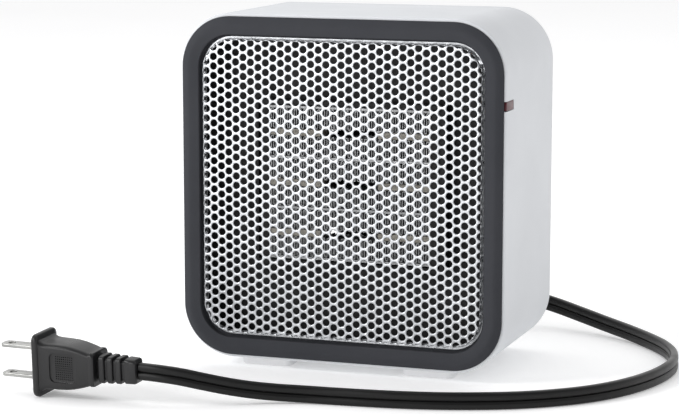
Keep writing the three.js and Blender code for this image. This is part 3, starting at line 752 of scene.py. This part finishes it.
def add_grille():
    low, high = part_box("front_grille")
    flange_half_x = (high.x - low.x) / 2
    flange_half_z = (high.z - low.z) / 2
    flange = GRILLE_FLANGE
    gap = EDGE_GAP
    half_x = flange_half_x - flange - gap - ROLL
    half_z = flange_half_z - flange - gap - ROLL
    corner = 14.2 * MM - gap - ROLL
    front = low.y + 0.2 * MM
    limit = ROLL * math.pi / 2 + RETURN_DEPTH - ROLL + 1.4 * MM
    rings = cell_rings()
    count = len(rings[0])
    points = []
    faces = []
    for column in range(-20, 21):
        cx = LATTICE_X + column * COLUMN_PITCH
        for row in range(-18, 19):
            cz = LATTICE_Z + (row + (column % 2) / 2) * ROW_PITCH - BODY_CENTRE[1]
            dx = max(abs(cx) - (half_x - corner), 0)
            dz = max(abs(cz) - (half_z - corner), 0)
            if math.hypot(dx, dz) - corner > limit:
                continue
            first = len(points)
            for ring in rings:
                for x, z, depth in ring:
                    points.append(
                        grille_bend(cx + x, cz + z, depth, half_x, half_z, corner, front))
            for level in range(len(rings) - 1):
                a = first + level * count
                for j in range(count):
                    k = (j + 1) % count
                    faces.append((a + j, a + k, a + count + k, a + count + j))
    sheet = mesh_from([(x, y, z + BODY_CENTRE[1]) for x, y, z in points], faces)
    ledge_y = high.y + 0.75 * MM
    strip = softened(
        [(0, ledge_y), (flange + gap + 0.6 * MM, ledge_y),
         (flange + gap + 0.6 * MM, ledge_y + SHEET), (0, ledge_y + SHEET)], [0.1 * MM] * 4, steps=2)
    ledge = framed(
        2 * flange_half_x, 2 * flange_half_z, 16.8 * MM, BODY_CENTRE, strip)
    add_piece(
        "grille", joined(sheet, ledge), GRILLE_SILVER, ["front_grille"], sharp=50)


add_grille()


# ---- indicator, feet ---------------------------------------------------------------------

def add_indicator():
    low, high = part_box("indicator_lens")
    mesh = block(low, high, 0.9 * MM, 0.35 * MM, "X")
    add_piece("lens", mesh, LENS_RED, ["indicator_lens"])


def add_feet():
    """Each foot has a rounded rim and a shallow dish below."""
    for end in ("front", "rear"):
        for side in ("left", "right"):
            name = f"foot_{end}_{side}"
            low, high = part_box(name)
            foot = block(low, high, 3.6 * MM, 0.8 * MM)
            dish = block(
                (low.x + 3 * MM, low.y + 3 * MM, low.z - 2 * MM),
                (high.x - 3 * MM, high.y - 3 * MM, low.z + 0.5 * MM), 1.5 * MM, 0.3 * MM)
            add_piece(f"pad_{end}_{side}", cut(foot, dish), FOOT_WHITE_WITH_PAINTED_LIGHT, [name])


add_indicator()
add_feet()


# ---- back: cover, screws, switch ---------------------------------------------------------

SLOT_ROWS = 12
SLOT_PITCH = 7 * MM
SLOT_SIZE = (44 * MM, 3.4 * MM)
SLOT_CENTRE_X = 24.5 * MM
SCREW_SEAT = 1.2 * MM


def add_rear_cover():
    low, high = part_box("rear_cover")
    inset = 2.9 * MM
    outlines = [rounded_rect(
        BODY_SIZE.x - 2 * inset, BODY_SIZE.z - 2 * inset, BODY_CORNER - inset, BODY_CENTRE)]
    middle = centre_of("fan_shroud").z
    for row in range(SLOT_ROWS):
        z = middle + (row - (SLOT_ROWS - 1) / 2) * SLOT_PITCH
        outlines += [stadium(*SLOT_SIZE, (side * SLOT_CENTRE_X, z)) for side in (-1, 1)]
    outlines += [circle(3.7 * MM, centre) for centre in BOSS_CENTRES]
    boot = centre_of("cord_boot")
    outlines.append(circle(6.3 * MM, (boot.x, boot.z)))
    flange_low, flange_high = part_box("switch_body")
    switch = centre_of("switch_body")
    outlines.append(rounded_rect(
        flange_high.x - flange_low.x - 2 * MM, flange_high.z - flange_low.z - 2 * MM,
        0.6 * MM, (switch.x, switch.z), 3))
    sheet = panel(outlines, low.y, high.y, 0.5 * MM)
    seats = []
    seat = softened(
        [(1.7 * MM, low.y), (4.3 * MM, low.y), (4.3 * MM, high.y - SCREW_SEAT),
         (1.7 * MM, high.y - SCREW_SEAT)], [0.1 * MM] * 4, steps=2)
    for centre in BOSS_CENTRES:
        seats.append(turned(seat, centre, loop=True))
    add_piece("back_panel", joined(sheet, *seats), HOUSING_WHITE, ["rear_cover"])


def add_screws():
    """Pan heads with a cross recess."""
    for number, (x, z) in enumerate(BOSS_CENTRES, 1):
        low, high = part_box(f"rear_screw_{number}")
        top = high.y
        seat = top - 1.8 * MM
        profile = [
            (0.3 * MM, low.y), (1.3 * MM, low.y + 1.5 * MM), (1.5 * MM, low.y + 2.2 * MM),
            (1.5 * MM, seat), (3.2 * MM, seat), (3.3 * MM, seat + 0.2 * MM),
            (3.3 * MM, seat + 0.7 * MM), (3.0 * MM, seat + 1.2 * MM), (2.2 * MM, seat + 1.6 * MM),
            (1.1 * MM, top - 0.04 * MM), (0.2 * MM, top)]
        head = turned(profile, (x, z), count=40)
        for turn in (math.radians(20 + 35 * number), math.radians(110 + 35 * number)):
            arm = block(
                (-1.75 * MM, -1.1 * MM, -0.42 * MM), (1.75 * MM, 2 * MM, 0.42 * MM),
                0.2 * MM, 0.05 * MM, "Y")
            arm.transform(Matrix.Translation((x, top, z)) @ Matrix.Rotation(turn, 4, "Y"))
            head = cut(head, arm)
        add_piece(
            f"cover_screw_{number}", head, SCREW_STEEL, [f"rear_screw_{number}"])


def rocker_mark(kind, width):
    """The bar or the ring moulded on the cap, a little proud of the plane y = 0."""
    low_y = -0.25 * MM
    high_y = 0.12 * MM
    if kind == "bar":
        return block(
            (-0.35 * MM, low_y, -width / 2), (0.35 * MM, high_y, width / 2),
            0.2 * MM, 0.05 * MM, "Y")
    inner = width / 2 - 0.6 * MM
    ring = softened(
        [(inner, low_y), (width / 2, low_y), (width / 2, high_y), (inner, high_y)],
        [0.05 * MM] * 4, steps=2)
    return turned(ring, (0, 0), loop=True, count=24)


def add_switch():
    low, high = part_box("switch_body")
    middle = centre_of("switch_body")
    cover_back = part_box("rear_cover")[1].y
    width = high.x - low.x
    height = high.z - low.z
    centre = (middle.x, middle.z)
    flange = panel([
        rounded_rect(width, height, 1.4 * MM, centre, 6),
        rounded_rect(width - 3.4 * MM, height - 3.8 * MM, 0.8 * MM, centre, 6),
    ], cover_back + 0.1 * MM, high.y, 0.35 * MM)
    body = panel([
        rounded_rect(width - 2.4 * MM, height - 2.4 * MM, 0.6 * MM, centre, 4),
        rounded_rect(width - 3.4 * MM, height - 3.8 * MM, 0.5 * MM, centre, 4),
    ], low.y + 1 * MM, cover_back + 1 * MM, 0.2 * MM)
    floor = block(
        (low.x + 1.2 * MM, low.y, low.z + 1.2 * MM),
        (high.x - 1.2 * MM, cover_back - 5.8 * MM, high.z - 1.2 * MM), 0.6 * MM, 0.2 * MM, "Y")
    add_piece(
        "switch_case", joined(flange, body, floor), SWITCH_BLACK, ["switch_body"])


CAP_SLOPE = math.atan2(1.5, 8.1)  # of each half of the rocker's vee face


def add_rocker():
    """A cap with a shallow vee face, tilted to its rest place, with a bar and a ring on it."""
    joint = next(j for j in frame["joints"] if j["name"] == "power_switch")
    pivot = Vector(joint["pos_m"])
    reach = 8.1 * MM
    width = 11 * MM
    profile = softened(
        scaled((-4, -3.5), (0.4, -8.1), (2.6, -8.1), (1.1, 0), (2.6, 8.1), (0.4, 8.1), (-4, 3.5)),
        [0.5 * MM, 0.5 * MM, 0.6 * MM, 6 * MM, 0.6 * MM, 0.5 * MM, 0.5 * MM])
    edge = 0.4 * MM
    shares = [(-width / 2, 1 - edge / reach), (-width / 2 + edge * 0.3, 1 - 0.3 * edge / reach)]
    shares += [(-width / 2 + edge, 1), (width / 2 - edge, 1)]
    shares += [(width / 2 - edge * 0.3, 1 - 0.3 * edge / reach), (width / 2, 1 - edge / reach)]
    rings = [[(x, share * y, share * z) for y, z in profile] for x, share in shares]
    cap = lofted(rings)
    marks = []
    for kind, side in (("bar", 1), ("ring", -1)):
        mark = rocker_mark(kind, 3.4 * MM)
        slope = Matrix.Rotation(-side * CAP_SLOPE, 4, "X")
        mark.transform(Matrix.Translation((0, 2.03 * MM, side * 5 * MM)) @ slope)
        marks.append(mark)
    cap_faces = len(cap.polygons)
    mesh = joined(cap, *marks)
    tilt = Matrix.Translation(pivot) @ Matrix.Rotation(math.radians(-7), 4, "X")
    mesh.transform(tilt)
    piece = add_piece(
        "rocker", mesh, SWITCH_BLACK, ["power_rocker"], body="rocker")
    mesh.materials.append(MARK_WHITE)
    for face in mesh.polygons[cap_faces:]:
        face.material_index = 1
    return piece


add_rear_cover()
add_screws()
add_switch()
add_rocker()


# ---- element -----------------------------------------------------------------------------

FIN_PITCH = 2.16 * MM
FIN_SHEET = 0.3 * MM
FOLD_SHAPE = [(0, 0.03), (0.06, 0), (0.4, 0.03), (0.5, 0.1), (0.5, 0.9), (0.6, 0.97)]


def fin_profile(low, high):
    """The centre line of a ribbon folded between two plates, with round folds, in X and Z."""
    top = high.z - FIN_SHEET / 2
    bottom = low.z + FIN_SHEET / 2
    folds = int((high.x - low.x) / FIN_PITCH) * 2
    half = (high.x - low.x - FIN_SHEET) / folds
    line = []
    for fold in range(folds):
        x = low.x + FIN_SHEET / 2 + fold * half
        start, end = (bottom, top) if fold % 2 == 0 else (top, bottom)
        for share_x, share_z in FOLD_SHAPE:
            line.append((x + share_x * half, start + (end - start) * share_z))
    line.append((high.x - FIN_SHEET / 2, end))
    return line


def add_fins():
    for number in range(1, 7):
        name = f"fin_pack_{number}"
        low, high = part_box(name)
        line = [Vector(point) for point in fin_profile(low, high)]
        sides = []
        for i, point in enumerate(line):
            along = (line[min(i + 1, len(line) - 1)] - line[max(i - 1, 0)]).normalized()
            across = Vector((-along.y, along.x)) * FIN_SHEET / 2
            sides.append((point + across, point - across))
        rings = []
        for left, right in sides:
            rings.append([
                (left.x, low.y, left.y), (left.x, high.y, left.y),
                (right.x, high.y, right.y), (right.x, low.y, right.y)])
        add_piece(f"fins_{number}", lofted(rings), ALUMINIUM, [name])


add_fins()


# ---- CAD nodes that are shown as they are ------------------------------------------------

CAD_FINISHES = {
    "indicator_lamp": LAMP_GLASS,
    "air_duct": DUCT_BLACK,
    "fan_shroud": DUCT_BLACK,
    "element_cap_left": CAP_BLACK,
    "element_cap_right": CAP_BLACK,
    "thermal_cutoff": PLATED_STEEL,
    "thermal_fuse": PLATED_STEEL,
    "fan_motor": MOTOR_STEEL,
    "motor_shaft": PLATED_STEEL,
    "fan_impeller": FAN_BLACK,
    "hub_clip": PLATED_STEEL,
    "tip_over_switch": NYLON_CREAM,
    "terminal_block": NYLON_CREAM,
    "lead_switch": LEAD_BLACK,
    "lead_cutoff": LEAD_RED,
    "lead_fuse": LEAD_RED,
}
CAD_FINISHES.update({f"contact_plate_{n}": ALUMINIUM for n in (1, 2, 3, 4)})
CAD_FINISHES.update({
    f"ptc_stone_{n}_{side}": PTC_CERAMIC for n in (1, 2, 3) for side in ("left", "right")})

for node, material in CAD_FINISHES.items():
    data = frame["nodes"][node].data
    data.materials.clear()
    data.materials.append(material)


# ---- floor, world and lights -------------------------------------------------------------

BACKDROP = (1.0, 1.0, 1.0)
FRONT_OF_STUDIO = (0.31, 0.31, 0.32)


FLOOR_GLOW = 0.22


def add_floor():
    size = 6
    mesh = mesh_from(
        [(-size, -size, 0), (size, -size, 0), (size, size, 0), (-size, size, 0)], [(0, 1, 2, 3)])
    floor = bpy.data.objects.new("floor", mesh)
    bpy.context.scene.collection.objects.link(floor)
    paint = Paint("floor_paint", 0.9, specular=0.1)
    paint.color((249, 249, 249), (251, 251, 251), 3)
    paint.shader.inputs["Emission Color"].default_value = (1, 1, 1, 1)
    paint.shader.inputs["Emission Strength"].default_value = FLOOR_GLOW
    mesh.materials.append(paint.material)


def add_world():
    """A white backdrop behind the heater; the open front of the studio is dimmer."""
    world = bpy.data.worlds.new("studio")
    world.use_nodes = True
    nodes = world.node_tree.nodes
    links = world.node_tree.links
    direction = nodes.new("ShaderNodeTexCoord").outputs["Generated"]
    split = nodes.new("ShaderNodeSeparateXYZ")
    share = nodes.new("ShaderNodeMapRange")
    share.inputs["From Min"].default_value = -1
    share.inputs["From Max"].default_value = 1
    ramp = nodes.new("ShaderNodeValToRGB")
    ramp.color_ramp.elements[0].position = 0.1
    ramp.color_ramp.elements[0].color = (*FRONT_OF_STUDIO, 1)
    ramp.color_ramp.elements[1].position = 0.75
    ramp.color_ramp.elements[1].color = (*BACKDROP, 1)
    links.new(direction, split.inputs["Vector"])
    links.new(split.outputs["Y"], share.inputs["Value"])
    links.new(share.outputs["Result"], ramp.inputs["Fac"])
    background = nodes["Background"]
    background.inputs["Strength"].default_value = 1.0
    links.new(ramp.outputs["Color"], background.inputs["Color"])
    bpy.context.scene.world = world


def add_light(name, place, target, size, power):
    data = bpy.data.lights.new(name, "AREA")
    data.shape = "SQUARE"
    data.size = size
    data.energy = power
    light = bpy.data.objects.new(name, data)
    light.location = place
    light.rotation_euler = (Vector(target) - Vector(place)).to_track_quat("-Z", "Y").to_euler()
    bpy.context.scene.collection.objects.link(light)


add_floor()
add_world()
add_light("key", (-1.2, -1.0, 0.9), (0, 0, 0.08), 0.5, 13)
add_light("top", (-0.3, 0.5, 1.6), (0, 0, 0), 1.4, 4)
add_light("fill", (-0.6, -1.4, 0.25), (0, 0, 0.05), 0.6, 5)
bpy.context.scene.view_settings.view_transform = "Standard"
